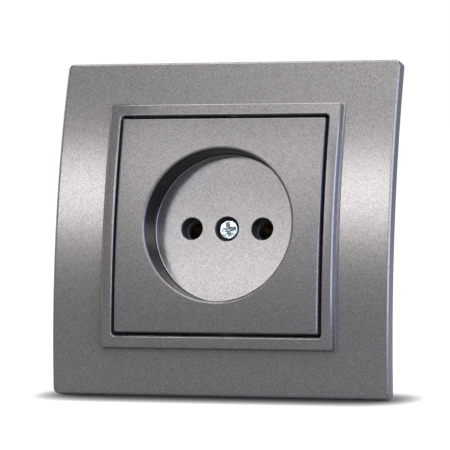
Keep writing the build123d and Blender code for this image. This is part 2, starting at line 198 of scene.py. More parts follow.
# %% [markdown]
# The numbers then have to be worked with: stretched, multiplied, and used to choose between two finishes.
# Each of these helpers adds one node for that and gives back its output, so that they can be put inside
# one another like ordinary arithmetic. The last two take plain numbers as well as outputs.

# %% Helpers for numbers
def ramp(tree, value, start, end):
    """A number that goes from 0 to 1 as the value goes from start to end."""
    span = add_node(tree, "ShaderNodeMapRange", From_Min=start, From_Max=end)
    tree.links.new(value, span.inputs["Value"])
    return span.outputs["Result"]


def calculate(tree, operation, *values):
    """One step of arithmetic with numbers and outputs of nodes."""
    new = add_node(tree, "ShaderNodeMath", {"operation": operation})
    for place, value in enumerate(values):
        if isinstance(value, (int, float)):
            new.inputs[place].default_value = value
        else:
            tree.links.new(value, new.inputs[place])
    return new.outputs["Value"]


def mix(tree, factor, first, second):
    """A colour or number between two others."""
    new = add_node(tree, "ShaderNodeMix", {"data_type": "RGBA"})
    tree.links.new(factor, new.inputs["Factor"])
    for name, value in (("A", first), ("B", second)):
        if isinstance(value, (int, float)):
            new.inputs[name].default_value = (value, value, value, 1)
        else:
            tree.links.new(value, new.inputs[name])
    return new.outputs["Result"]


print("helpers for numbers are ready")

# %% [markdown]
# No real surface has one flat colour or one even gloss. A picture of the material could be laid over it,
# but it would show its pixels from close by and its seams at the edges. A noise has neither, at any size.
# Its values crowd round the middle, so only the part between two limits is used, or the pattern would look
# faint.

# %% Helpers for patterns
NOISE_LOW = 0.3
NOISE_HIGH = 0.7


def noise(tree, grain, detail=2.0, stretch=(1, 1, 1)):
    """A soft noise from 0 to 1 whose grains are about this size."""
    new = add_node(tree, "ShaderNodeTexNoise", Scale=1 / grain, Detail=detail)
    tree.links.new(object_place(tree, stretch), new.inputs["Vector"])
    return new.outputs["Fac"]


def blend_colours(tree, factor, dark, light, low=NOISE_LOW, high=NOISE_HIGH):
    """A colour that goes from dark to light as the factor goes from low to high."""
    blend = add_node(tree, "ShaderNodeMix", {"data_type": "RGBA"})
    blend.inputs["A"].default_value = (*dark, 1)
    blend.inputs["B"].default_value = (*light, 1)
    tree.links.new(ramp(tree, factor, low, high), blend.inputs["Factor"])
    return blend.outputs["Result"]


def spread(tree, factor, low, high):
    """A number that goes from low to high with the middle part of a noise."""
    span = add_node(tree, "ShaderNodeMapRange", From_Min=NOISE_LOW, From_Max=NOISE_HIGH,
                    To_Min=low, To_Max=high)
    tree.links.new(factor, span.inputs["Value"])
    return span.outputs["Result"]


def roughen(tree, shader, factor, strength, depth):
    """Bump of this depth in metres."""
    bump = add_node(tree, "ShaderNodeBump", Strength=strength, Distance=depth)
    tree.links.new(factor, bump.inputs["Height"])
    tree.links.new(bump.outputs["Normal"], shader.inputs["Normal"])


print("noise is used from", NOISE_LOW, "to", NOISE_HIGH)

# %% [markdown]
# The socket stands on a white table, and the only mark on it is a soft shadow along the frame's foot,
# which is painted. A white plane comes out grey in light that suits the lacquer, and light that makes the
# plane white washes the lacquer out. So the table glows, for the camera alone, and the glow fades near the
# foot, where a dark colour that only the camera sees paints the shadow over the true one. The painted shadow
# is an oval with blunt ends: a high power of the distance along the frame, and the square of the distance
# away from it, added up.

# %% Table finish
# The camera sees this dark colour where the glow fades along the foot: it paints the shadow there.
TABLE_PAINTED_SHADOW_COLOUR = (0.065, 0.063, 0.062)
TABLE_MIRRORED = (0.30, 0.295, 0.28)
TABLE_ROUGHNESS = 0.9
TABLE_SHINE = 0.1
TABLE_GLOW = 1.0
SHADOW_GLOW = 0.045
SHADOW_MIDDLE = 2.5 * MM
SHADOW_HALF = (48 * MM, 12.5 * MM)
SHADOW_BLUNTNESS = 8
SHADOW_FULL = 0.1
SHADOW_GONE = 2.4


def table_glow(tree):
    """How brightly the table glows: barely at the frame's foot, which paints a shadow, and fully away from
    it.
    """
    stretch = (1 / SHADOW_HALF[0], 1 / SHADOW_HALF[1], 0)
    place = xyz(tree, object_place(tree, stretch, (0, -SHADOW_MIDDLE / SHADOW_HALF[1], 0)))
    across = calculate(tree, "POWER", calculate(tree, "ABSOLUTE", place["X"]), SHADOW_BLUNTNESS)
    away = calculate(tree, "MULTIPLY_ADD", place["Y"], place["Y"], across)
    fade = add_node(tree, "ShaderNodeMapRange", {"interpolation_type": "SMOOTHSTEP"}, From_Min=SHADOW_FULL,
                    From_Max=SHADOW_GONE, To_Min=SHADOW_GLOW, To_Max=TABLE_GLOW)
    tree.links.new(away, fade.inputs["Value"])
    return fade.outputs["Result"]


def table_finish():
    """A matt white, dimmer in the lacquer's mirror, whose glow for the camera leaves a painted shadow."""
    material, tree, shader = start_material("table_white", roughness=TABLE_ROUGHNESS)
    shader.inputs["Specular IOR Level"].default_value = TABLE_SHINE
    shader.inputs["Emission Color"].default_value = (1, 1, 1, 1)
    seen = add_node(tree, "ShaderNodeLightPath").outputs["Is Camera Ray"]
    white = blend_colours(tree, seen, TABLE_MIRRORED, TABLE_PAINTED_SHADOW_COLOUR, 0, 1)
    tree.links.new(white, shader.inputs["Base Color"])
    glow = calculate(tree, "MULTIPLY", table_glow(tree), seen)
    tree.links.new(glow, shader.inputs["Emission Strength"])
    return material


table_white = table_finish()
print("the dark patch is", [round(2 * half / MM) for half in SHADOW_HALF], "mm wide and deep")

# %% [markdown]
# The frame in the photograph leans back a little. The socket itself has to stay upright here, as it is
# packed, so the table is tilted instead, which looks the same. It touches the frame's lowest edge and
# falls away towards the camera.

# %% Table
TABLE_SLOPE = math.radians(11.0)
TABLE_SIZE = 6.0
TABLE_TOUCH = Vector((0, 0, -43.45 * MM))


def make_table():
    """The white table under the socket."""
    shape = bmesh.new()
    bmesh.ops.create_grid(shape, x_segments=2, y_segments=2, size=TABLE_SIZE / 2)
    tilt = Matrix.Rotation(TABLE_SLOPE, 3, "X")
    bmesh.ops.rotate(shape, verts=shape.verts, cent=(0, 0, 0), matrix=tilt)
    bmesh.ops.translate(shape, verts=shape.verts, vec=TABLE_TOUCH)
    mesh = bpy.data.meshes.new("table")
    shape.to_mesh(mesh)
    shape.free()
    table = bpy.data.objects.new("table", mesh)
    bpy.context.scene.collection.objects.link(table)
    mesh.materials.append(table_white)
    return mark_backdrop(table)


make_table()
print("table slopes", round(math.degrees(TABLE_SLOPE), 1), "degrees")

# %% [markdown]
# Round the socket is a white room. A room that is really white would light the lacquer from all sides and
# take away its dark edges. So the camera sees pure white, as on a cut-out picture, and the socket sees the
# same room much dimmer. The colours are shown as they are, without a film curve, which would turn white to
# grey.

# %% Room
ROOM_BRIGHTNESS = 0.38


def make_room():
    """A surrounding that is white to the camera and dimmer to the socket."""
    world = bpy.data.worlds.new("studio")
    world.use_nodes = True
    tree = world.node_tree
    background = tree.nodes["Background"]
    background.inputs["Color"].default_value = (1, 1, 1, 1)
    ray = add_node(tree, "ShaderNodeLightPath")
    span = add_node(tree, "ShaderNodeMapRange", To_Min=ROOM_BRIGHTNESS, To_Max=1.0)
    tree.links.new(ray.outputs["Is Camera Ray"], span.inputs["Value"])
    tree.links.new(span.outputs["Result"], background.inputs["Strength"])
    bpy.context.scene.world = world


bpy.context.scene.view_settings.view_transform = "Standard"
make_room()
print("room brightness", ROOM_BRIGHTNESS)

# %% [markdown]
# Metallic lacquer shows little colour of its own: it shows the lamps. They could be spot lamps, but those
# make hard dots. Softboxes are large and even, and each is placed by the angle at which the socket sees
# it, because a mirror cares for angles and not for distances. The front strip is the band of light across
# the frame. The side strip lights the floor of the well and, mirrored in it, the well's left wall. The
# upper box lights the upper half and the overhead box the upper edges. The two side boxes draw the thin
# lines on upright edges, and the right one is bluish like the sky in a window.

# %% Softboxes
SOFTBOX_DISTANCE = 1.6
WHITE = (1, 1, 1)
SKY = (0.55, 0.68, 1.0)


def softbox(name, azimuth, elevation, wide, high, brightness, colour=WHITE):
    """A softbox that looks at the socket. Azimuth, elevation, wide and high are angles in degrees.

    Azimuth 0 is in front, and positive is right. Wide and high are how large it looks from the socket.
    """
    a, e = math.radians(azimuth), math.radians(elevation)
    away = Vector((math.sin(a) * math.cos(e), -math.cos(a) * math.cos(e), math.sin(e)))
    data = bpy.data.lights.new(name, "AREA")
    data.shape = "RECTANGLE"
    data.size = 2 * SOFTBOX_DISTANCE * math.tan(math.radians(wide / 2))
    data.size_y = 2 * SOFTBOX_DISTANCE * math.tan(math.radians(high / 2))
    data.energy = brightness * math.pi * data.size * data.size_y
    data.color = colour
    lamp = bpy.data.objects.new(name, data)
    turn = away.to_track_quat("Z", "Y").to_matrix().to_4x4()
    lamp.matrix_world = Matrix.Translation(away * SOFTBOX_DISTANCE) @ turn
    bpy.context.scene.collection.objects.link(lamp)
    return lamp


lamps = [
    softbox("front_strip", azimuth=-14.5, elevation=13.0, wide=29, high=11, brightness=8.8),
    softbox("side_strip", azimuth=19, elevation=12.5, wide=13, high=11, brightness=5.0),
    softbox("upper_box", azimuth=20, elevation=42, wide=66, high=34, brightness=2.1),
    softbox("overhead_box", azimuth=0, elevation=82, wide=50, high=40, brightness=5.0),
    softbox("right_box", azimuth=66, elevation=4, wide=76, high=44, brightness=6.0, colour=SKY),
    softbox("left_box", azimuth=-95, elevation=8, wide=30, high=60, brightness=2.5),
]
print("softboxes:", [lamp.name for lamp in lamps])

# %% [markdown]
# The frame, the ring and the plate are sprayed with a silver-grey lacquer. It is full of aluminium flakes
# much smaller than a millimetre, and each lies at its own slight tilt, so the paint sparkles from close
# by. Dots could be strewn over a plain paint, but they would all shine alike. A cell texture gives each
# flake a random colour of its own: one part of that colour sets the flake's shade, and the whole of it
# leans its normal.

# %% Flakes
FLAKE = 0.20 * MM
FLAKE_TILT = 0.025


def flakes(tree):
    """Random cells: a number for each flake's shade, and a small lean for its normal."""
    cells = add_node(tree, "ShaderNodeTexVoronoi", Scale=1 / FLAKE)
    tree.links.new(object_place(tree), cells.inputs["Vector"])
    lean = add_node(tree, "ShaderNodeVectorMath", {"operation": "MULTIPLY_ADD"})
    lean.inputs[1].default_value = (FLAKE_TILT,) * 3
    lean.inputs[2].default_value = (-FLAKE_TILT / 2,) * 3
    tree.links.new(cells.outputs["Color"], lean.inputs[0])
    return xyz(tree, cells.outputs["Color"])["X"], lean.outputs["Vector"]


def calmer(tree, lean, inside, calm):
    """Flakes that lie flatter inside the well, by this share."""
    new = add_node(tree, "ShaderNodeVectorMath", {"operation": "SCALE"})
    tree.links.new(lean, new.inputs[0])
    tree.links.new(calculate(tree, "MULTIPLY_ADD", inside, -calm, 1.0), new.inputs["Scale"])
    return new.outputs["Vector"]


print("flakes are", round(FLAKE / MM, 2), "mm across")

# %% [markdown]
# Moulded faces are never quite flat. The ring's faces slope down to its edges, the plate sinks a little
# towards its own edges and nods by two degrees on its mount, and the floor of the well is a faint hollow.
# The eye can't measure such slopes, but a mirror shows them, as a light that fades sooner than on a flat
# face. They could be modelled, but no edge in the photograph tells how deep they are, and a slope spoils
# the roundings at the ring's rim. So they only lean the normal, which moves the mirrored lamps and leaves
# the solids as they are.

# %% Leaning faces
CROWN_POWER = 5
RING_HALF = (30.9 * MM, 31.5 * MM)
RING_EDGE_TILT = 0.21
PLATE_HALF = (27.2 * MM, 27.7 * MM)
PLATE_EDGE_TILT = 0.06
PLATE_NOD = -0.035
DISH_RADIUS = 600 * MM


def crown(tree, half_size, tilt):
    """A lean outwards that grows towards the edges, where it reaches this tilt."""
    place = xyz(tree, object_place(tree, (1 / half_size[0], 1, 1 / half_size[1])))
    lean = add_node(tree, "ShaderNodeCombineXYZ")
    for axis in "XZ":
        grown = calculate(tree, "POWER", place[axis], CROWN_POWER)
        tree.links.new(calculate(tree, "MULTIPLY", grown, tilt), lean.inputs[axis])
    return lean.outputs["Vector"]


def nod_and_dish(tree, inside):
    """The plate nods a little on its mount, and the floor of its well is a faint hollow."""
    lean = add_node(tree, "ShaderNodeCombineXYZ")
    hollow = calculate(tree, "MULTIPLY", xyz(tree, object_place(tree))["Z"], -1 / DISH_RADIUS)
    nod = calculate(tree, "MULTIPLY_ADD", inside, -PLATE_NOD, PLATE_NOD)
    tree.links.new(calculate(tree, "MULTIPLY_ADD", hollow, inside, nod), lean.inputs["Z"])
    return lean.outputs["Vector"]


def add_leans(tree, shader, leans):
    """Adds the leans to the surface's own normal."""
    total = add_node(tree, "ShaderNodeNewGeometry").outputs["Normal"]
    for lean in leans:
        both = add_node(tree, "ShaderNodeVectorMath", {"operation": "ADD"})
        tree.links.new(total, both.inputs[0])
        tree.links.new(lean, both.inputs[1])
        total = both.outputs["Vector"]
    unit = add_node(tree, "ShaderNodeVectorMath", {"operation": "NORMALIZE"})
    tree.links.new(total, unit.inputs[0])
    tree.links.new(unit.outputs["Vector"], shader.inputs["Normal"])


print("plate nods", round(math.degrees(-PLATE_NOD), 1), "degrees")

# %% [markdown]
# A spray comes from the front, so it doesn't reach the back of a piece, and the dark plastic shows there.
# Deep in a narrow gap the same dark colour is painted shade, and it is why the line round the plate looks
# black. Faces could be picked by hand for this, but a imported mesh may be cut into other triangles
# tomorrow. Where a face looks, and how deep it lies behind the arched front, tell the same thing from the
# place alone.

# %% Bare backs, and painted shade in the gaps
FACE_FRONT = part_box("socket_face")[0].y
FACE_RADIUS = 212.7 * MM
BEHIND_STARTS = 0.1
BEHIND_FULL = 0.4
# Deeper than this behind the arched front, the bare colour is painted shade.
GAP_SHADE_STARTS = 3.0 * MM
GAP_SHADE_FADE = 1.5 * MM


def behind(tree):
    """1 where a face looks to the wall, so that no spray reaches it."""
    return ramp(tree, facing(tree), BEHIND_STARTS, BEHIND_FULL)


def in_gap(tree):
    """1 where a face lies so deep behind the arched front that it gets painted shade."""
    place = xyz(tree, object_place(tree))
    square = calculate(tree, "MULTIPLY", place["Z"], place["Z"])
    arch = calculate(tree, "MULTIPLY_ADD", square, 0.5 / FACE_RADIUS, FACE_FRONT)
    depth = calculate(tree, "SUBTRACT", place["Y"], arch)
    return ramp(tree, depth, GAP_SHADE_STARTS, GAP_SHADE_STARTS + GAP_SHADE_FADE)


def ring_bare_or_gap_shade(tree):
    """The ring is bare behind, and has painted shade in the gaps."""
    return calculate(tree, "MAXIMUM", behind(tree), in_gap(tree))


print("the plate's front is at", round(FACE_FRONT / MM, 2), "mm")
# Where the spray ends, the bare colour in the gaps begins to paint shade.
print("the spray ends", round(GAP_SHADE_STARTS / MM, 1), "mm behind it")

# %% [markdown]
# The well is deeper than the gaps, yet it is wide, so the spray does reach into it. Its floor faces the
# gun and is glossy and bright. Its steep wall is painted shade: nearly black and all metal. The pin holes
# in the floor are narrow again, and just inside their rims they get the bare dark colour, as painted shade
# like in the gaps. This could be three materials on three groups of faces, but then the borders would
# follow the triangles. The well is a round space, so a distance from the axis and two depths say where it
# is, with short fades for soft edges.

# %% Inside the well
WELL_REACH = 20.0 * MM
WELL_REACH_FADE = 0.1 * MM
WELL_STARTS = -10.9 * MM
WELL_FADE = 0.4 * MM
WELL_BACK = -2.36 * MM
WELL_BACK_FADE = 0.15 * MM
WALL_STARTS = 0.85
WALL_FULL = 0.55


def in_well(tree):
    """1 on the well's floor and walls."""
    place = xyz(tree, object_place(tree))
    across = add_node(tree, "ShaderNodeVectorMath", {"operation": "LENGTH"})
    tree.links.new(object_place(tree, (1, 0, 1)), across.inputs[0])
    near = ramp(tree, across.outputs["Value"], WELL_REACH + WELL_REACH_FADE, WELL_REACH)
    deep = ramp(tree, place["Y"], WELL_STARTS, WELL_STARTS + WELL_FADE)
    in_holes = ramp(tree, place["Y"], WELL_BACK, WELL_BACK - WELL_BACK_FADE)
    return calculate(tree, "MULTIPLY", calculate(tree, "MULTIPLY", near, deep), in_holes)


def on_wall(tree, inside):
    """1 on the steep wall of the well, which gets a painted shade."""
    steep = ramp(tree, calculate(tree, "ABSOLUTE", facing(tree)), WALL_STARTS, WALL_FULL)
    return calculate(tree, "MULTIPLY", steep, inside)


def plate_bare_or_gap_shade(tree):
    """The plate is bare behind, and has painted shade in the gap and pin holes, but not in its well."""
    outside = calculate(tree, "SUBTRACT", 1.0, in_well(tree))
    gap = calculate(tree, "MULTIPLY", in_gap(tree), outside)
    return calculate(tree, "MAXIMUM", behind(tree), gap)


print("the paint in the well ends at", round(WELL_BACK / MM, 2), "mm")

# %% [markdown]
# Now the lacquer itself. Real metallic paint is a clear layer over metal flakes in grey pigment, and it
# could be built from as many layers. One shader that is two thirds metal gives the same look for less: the
# metal part mirrors the lamps, the rest keeps the shadows from going black, and the roughness spreads the
# mirror picture. The bare plastic is mixed in where the spray doesn't reach, and deep in the gaps, where
# its dark colour is painted shade. The well's steep wall is painted shade as well, nearly black and all
# metal. The frame and the ring are glossier than the plate, and the floor of the well is the glossiest.

# %% Lacquer
GLOSSY_SHADES = ((0.1235, 0.116, 0.1145), (0.2095, 0.197, 0.195))
GLOSSY = 0.25
SATIN_SHADES = ((0.102, 0.096, 0.095), (0.180, 0.169, 0.1665))
SATIN = 0.37
WELL_SHADES = ((0.104, 0.099, 0.100), (0.176, 0.168, 0.170))
WELL_GLOSS = 0.17
WELL_CALM = 0.4
# The well's steep wall: a nearly black colour, which is painted shade, and all metal.
WALL_PAINTED_SHADE = ((0.0335, 0.029, 0.0275), (0.0555, 0.048, 0.0455))
WALL_METAL = 1.0
# The bare plastic's colour, which also serves as painted shade deep in the gaps and pin holes.
BARE_AND_GAP_SHADE_COLOURS = ((0.018, 0.018, 0.019), (0.030, 0.030, 0.031))
BARE_GRAIN = 0.4 * MM
BARE = 0.55
LACQUER_METAL = 0.65


def lacquer(name, shades, roughness, shape=None, bare_or_gap_shade=behind, well=None):
    """Fine metallic lacquer over bare plastic, which doubles as painted gap shade; the last two say where
    each is.
    """
    material, tree, shader = start_material(name)
    shade, lean = flakes(tree)
    leans = [lean]
    if shape:
        leans.append(crown(tree, *shape))
    colour = blend_colours(tree, shade, *shades, 0, 1)
    gloss = roughness
    metal = LACQUER_METAL
    bare_or_shaded = bare_or_gap_shade(tree)
    if well:
        inside = well(tree)
        wall = on_wall(tree, inside)
        leans[0] = calmer(tree, lean, inside, WELL_CALM)
        leans.append(nod_and_dish(tree, inside))
        colour = mix(tree, inside, colour, blend_colours(tree, shade, *WELL_SHADES, 0, 1))
        colour = mix(tree, wall, colour, blend_colours(tree, shade, *WALL_PAINTED_SHADE, 0, 1))
        gloss = mix(tree, inside, gloss, WELL_GLOSS)
        metal = mix(tree, wall, metal, WALL_METAL)
    add_leans(tree, shader, leans)
    bare_or_shade_colour = blend_colours(tree, noise(tree, BARE_GRAIN), *BARE_AND_GAP_SHADE_COLOURS)
    tree.links.new(mix(tree, bare_or_shaded, colour, bare_or_shade_colour), shader.inputs["Base Color"])
    tree.links.new(mix(tree, bare_or_shaded, gloss, BARE), shader.inputs["Roughness"])
    tree.links.new(mix(tree, bare_or_shaded, metal, 0.0), shader.inputs["Metallic"])
    return material


dress("outer_frame", lacquer("frame_lacquer", GLOSSY_SHADES, GLOSSY))
dress("inner_bezel", lacquer("ring_lacquer", GLOSSY_SHADES, GLOSSY, (RING_HALF, RING_EDGE_TILT),
                             ring_bare_or_gap_shade))
dress("socket_face", lacquer("plate_lacquer", SATIN_SHADES, SATIN, (PLATE_HALF, PLATE_EDGE_TILT),
                             plate_bare_or_gap_shade, in_well))
print("lacquered:", dressed)

# %% [markdown]
# The steel pieces are plated with zinc: a bright, slightly blue metal with a faint cloudiness. One even
# metal would look like chrome. Here a coarse noise clouds the brightness, a finer one makes the gloss
# uneven, and a third gives a bump. The same helper serves all the steel, because only its numbers differ:
# the claws are yellowish, the springs dark, and the screws so uneven that the large one in the well
# glitters.

# %% Zinc plating
CLOUD_DETAIL = 4.0
GLOSS_DETAIL = 3.0
GLOSS_FINER = 3
GLOSS_SPREAD = (0.8, 1.3)
ZINC_GRAIN = 0.9 * MM
ZINC_BUMP = (0.12 * MM, 0.01 * MM)
ZINC_BUMP_STRENGTH = 0.35
EVEN = (1, 1, 1)


def zinc_plating(name, dark, light, roughness, grain=ZINC_GRAIN, stretch=EVEN, bump=ZINC_BUMP):
    """Zinc on steel: cloudy brightness, uneven gloss and a fine bump, given by its grain and depth."""
    material, tree, shader = start_material(name, metallic=1.0)
    clouds = noise(tree, grain, CLOUD_DETAIL, stretch)
    tree.links.new(blend_colours(tree, clouds, dark, light), shader.inputs["Base Color"])
    uneven = noise(tree, grain / GLOSS_FINER, GLOSS_DETAIL, stretch)
    gloss = spread(tree, uneven, *(roughness * share for share in GLOSS_SPREAD))
    tree.links.new(gloss, shader.inputs["Roughness"])
    bump_grain, bump_depth = bump
    roughen(tree, shader, noise(tree, bump_grain, stretch=stretch), ZINC_BUMP_STRENGTH, bump_depth)
    return material


screw_zinc = zinc_plating("screw_zinc", dark=(0.12, 0.16, 0.20), light=(0.50, 0.55, 0.58), roughness=0.22,
                          grain=0.45 * MM, bump=(0.5 * MM, 0.12 * MM))
claw_zinc = zinc_plating("claw_zinc", dark=(0.50, 0.46, 0.36), light=(0.70, 0.66, 0.52), roughness=0.32,
                         grain=1.4 * MM)
rivet_zinc = zinc_plating("rivet_zinc", dark=(0.45, 0.46, 0.48), light=(0.68, 0.69, 0.70),
                          roughness=0.30)
spring_grey = zinc_plating("spring_grey", dark=(0.20, 0.21, 0.23), light=(0.34, 0.35, 0.38),
                           roughness=0.28)
for side in ("left", "right"):
    dress("contact_clip_" + side, spring_grey)
    dress("claw_" + side, claw_zinc)
    for row in ("upper", "lower"):
        dress(f"rivet_{row}_{side}", rivet_zinc)
print("dressed so far:", len(dressed))

# %% [markdown]
# The mounting plate and the wire clamps are cut from rolled sheet, and the rolls leave long fine lines in
# it. The lines could be drawn with a stripe texture, but that repeats too evenly. The same noise as above
# does better, when it is stretched until its clouds are twelve times as long as they are wide.

# %% Rolled sheet
ROLLED = (0.08, 1, 1)

sheet_zinc = zinc_plating("sheet_zinc", dark=(0.42, 0.43, 0.44), light=(0.62, 0.62, 0.61), roughness=0.36,
                          grain=1.6 * MM, stretch=ROLLED)
dress("mounting_plate", sheet_zinc)
for side in ("left", "right"):
    dress("terminal_clamp_" + side, sheet_zinc)
print("dressed so far:", len(dressed))

# %% [markdown]
# The contacts, the terminals and the bush are brass, which dulls to brown where nothing rubs it. Plain
# yellow metal would look like gold. A coarse noise mixes the tarnish into the bright metal and makes the
# dull places rougher. The photograph shows a grey arc in each pin hole, so the mouths of the two contacts
# get a coat of nickel, which stays clean where the pins slide in. A ramp by depth puts the nickel there,
# so that no face has to be picked.

# %% Brass
TARNISH_GRAIN = 2.2 * MM
TARNISH_DETAIL = 5.0
TARNISHED_GLOSS = 0.42
RUBBED_GLOSS = 0.24
BRASS_BUMP_GRAIN = 0.15 * MM
BRASS_BUMP_DEPTH = 0.01 * MM
BRASS_BUMP_STRENGTH = 0.3
NICKEL_SHADES = ((0.40, 0.41, 0.43), (0.62, 0.63, 0.65))
MOUTH_DEPTH = 1.0 * MM
MOUTH_FADE = 0.3 * MM
MOUTH_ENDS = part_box("contact_left")[0].y + MOUTH_DEPTH


def old_brass(name, dull, bright, plated=None):
    """Brass that has tarnished unevenly. Plated says where its nickel is whole."""
    material, tree, shader = start_material(name, metallic=1.0)
    tarnish = noise(tree, TARNISH_GRAIN, TARNISH_DETAIL)
    colour = blend_colours(tree, tarnish, dull, bright)
    if plated:
        colour = mix(tree, plated(tree), colour, blend_colours(tree, tarnish, *NICKEL_SHADES))
    tree.links.new(colour, shader.inputs["Base Color"])
    tree.links.new(spread(tree, tarnish, TARNISHED_GLOSS, RUBBED_GLOSS), shader.inputs["Roughness"])
    roughen(tree, shader, noise(tree, BRASS_BUMP_GRAIN), BRASS_BUMP_STRENGTH, BRASS_BUMP_DEPTH)
    return material


def on_mouth(tree):
    """1 on the flared mouth of a contact."""
    return ramp(tree, xyz(tree, object_place(tree))["Y"], MOUTH_ENDS + MOUTH_FADE, MOUTH_ENDS)


brass = old_brass("brass", dull=(0.20, 0.13, 0.05), bright=(0.52, 0.37, 0.15))
contact_brass = old_brass("contact_brass", dull=(0.10, 0.075, 0.03), bright=(0.30, 0.22, 0.10),
                          plated=on_mouth)
dress("centre_bush", brass)
for side in ("left", "right"):
    dress("contact_" + side, contact_brass)
    dress("terminal_block_" + side, brass)
print("the nickel ends at", round(MOUTH_ENDS / MM, 2), "mm; dressed so far:", len(dressed))

# %% [markdown]
# The base and the cover are pressed from a hard thermoset that is filled with mineral powder. So it is
# nearly black with small lighter specks, dull, and slightly uneven like any pressed skin. A smooth black
# plastic would be quicker, but every edge on it would shine like a toy's. One noise draws the specks, a
# coarse one the gloss, and a fine one the skin.

# %% Mouldings
SPECK_GRAIN = 0.25 * MM
SPECK_DETAIL = 3.0
SPECK_STARTS = 0.45
SPECK_FULL = 0.8
SKIN_GRAIN = 0.3 * MM
SKIN_DETAIL = 3.0
SKIN_DEPTH = 0.02 * MM
SKIN_STRENGTH = 0.4
DULL_GRAIN = 3 * MM
DULL_SPREAD = (0.85, 1.15)


def moulding(name, body, speck, roughness):
    """A filled moulding compound with fine specks."""
    material, tree, shader = start_material(name, roughness=roughness)
    specks = noise(tree, SPECK_GRAIN, SPECK_DETAIL)
    colour = blend_colours(tree, specks, body, speck, SPECK_STARTS, SPECK_FULL)
    tree.links.new(colour, shader.inputs["Base Color"])
    gloss = spread(tree, noise(tree, DULL_GRAIN), *(roughness * share for share in DULL_SPREAD))
    tree.links.new(gloss, shader.inputs["Roughness"])
    roughen(tree, shader, noise(tree, SKIN_GRAIN, SKIN_DETAIL), SKIN_STRENGTH, SKIN_DEPTH)
    return material


base_compound = moulding("base_compound", body=(0.028, 0.027, 0.027), speck=(0.065, 0.062, 0.060),
                         roughness=0.5)
cover_compound = moulding("cover_compound", body=(0.020, 0.020, 0.022), speck=(0.045, 0.045, 0.048),
                          roughness=0.45)
dress("mechanism_base", base_compound)
dress("contact_cover", cover_compound)
print("dressed so far:", len(dressed))

# %% [markdown]
# The five screws are packed as plain solids, and a real screw has a thread. A thread could be a row of
# rings, but rings don't climb, and the eye notices. The spin operator turns one zigzag line about the axis
# and lifts it by one pitch a turn when it is given a small step along the axis, so each crest runs on into
# the next. The line is longer than the shank, and the surplus is cut off at both ends and the cuts are
# closed.

# %% Thread
TURN_STEPS = 40
THREAD_DEPTH = 0.55
SPARE_TURNS = 3
SAME_PLACE = 0.001 * MM


def thread(shape, radius, pitch, start, end):
    """A threaded shank along Z, closed at both ends. The crests are at the radius."""
    root = radius - THREAD_DEPTH * pitch
    count = math.ceil((end - start) / pitch) + SPARE_TURNS
    line = [shape.verts.new((root, 0, start - 2 * pitch))]
    for turn in range(count):
        height = start + (turn - SPARE_TURNS / 2) * pitch
        line.append(shape.verts.new((radius, 0, height)))
        line.append(shape.verts.new((root, 0, height + pitch / 2)))
    edges = [shape.edges.new(pair) for pair in zip(line, line[1:])]
    climb = Vector((0, 0, pitch / TURN_STEPS))
    bmesh.ops.spin(shape, geom=line + edges, cent=(0, 0, 0), axis=(0, 0, 1), dvec=climb,
                   angle=2 * math.pi, steps=TURN_STEPS)
    bmesh.ops.remove_doubles(shape, verts=shape.verts, dist=SAME_PLACE)
    for height, up in ((start, -1), (end, 1)):
        everything = shape.verts[:] + shape.edges[:] + shape.faces[:]
        bmesh.ops.bisect_plane(shape, geom=everything, plane_co=(0, 0, height), plane_no=(0, 0, up),
                               clear_outer=True)
    bmesh.ops.holes_fill(shape, edges=shape.edges)


print("a turn of thread has", TURN_STEPS, "steps")

# %% [markdown]
# The head is a flat cylinder with a rounded upper edge. A cylinder with a bevel would do, but half of its
# outline, turned about the axis, needs only one operator and meets itself cleanly in the middle. The
# outline runs from the axis along the underside, up the side, round the edge and back to the axis.

# %% Head
HEAD_ROUND_STEPS = 5


def head(shape, radius, height, edge):
    """A round head along Z with its underside at 0 and its top edge rounded."""
    points = [(0, 0), (radius, 0)]
    for step in range(HEAD_ROUND_STEPS + 1):
        angle = math.pi / 2 * step / HEAD_ROUND_STEPS
        points.append((radius - edge + edge * math.cos(angle), height - edge + edge * math.sin(angle)))
    points.append((0, height))
    line = [shape.verts.new((x, 0, z)) for x, z in points]
    edges = [shape.edges.new(pair) for pair in zip(line, line[1:])]
    bmesh.ops.spin(shape, geom=line + edges, cent=(0, 0, 0), axis=(0, 0, 1), angle=2 * math.pi,
                   steps=TURN_STEPS, use_merge=True)
    bmesh.ops.remove_doubles(shape, verts=shape.verts, dist=SAME_PLACE)


print("a head's edge has", HEAD_ROUND_STEPS, "steps")

# %% [markdown]
# A driver's tip is a cross that narrows downwards, and so is the recess that it leaves. Two crossed boxes
# could be cut out one after the other, but where they meet they leave odd edges. A grid of nine squares
# that loses its four corners is a cross in one piece. Its arms are made narrow, and it is then pushed down
# while it shrinks.

# %% Cross recess
RECESS_LENGTH = 1.5
RECESS_WIDTH = 0.46
RECESS_DEPTH = 0.42
RECESS_TAPER = 0.12
ABOVE_HEAD = 0.01 * MM


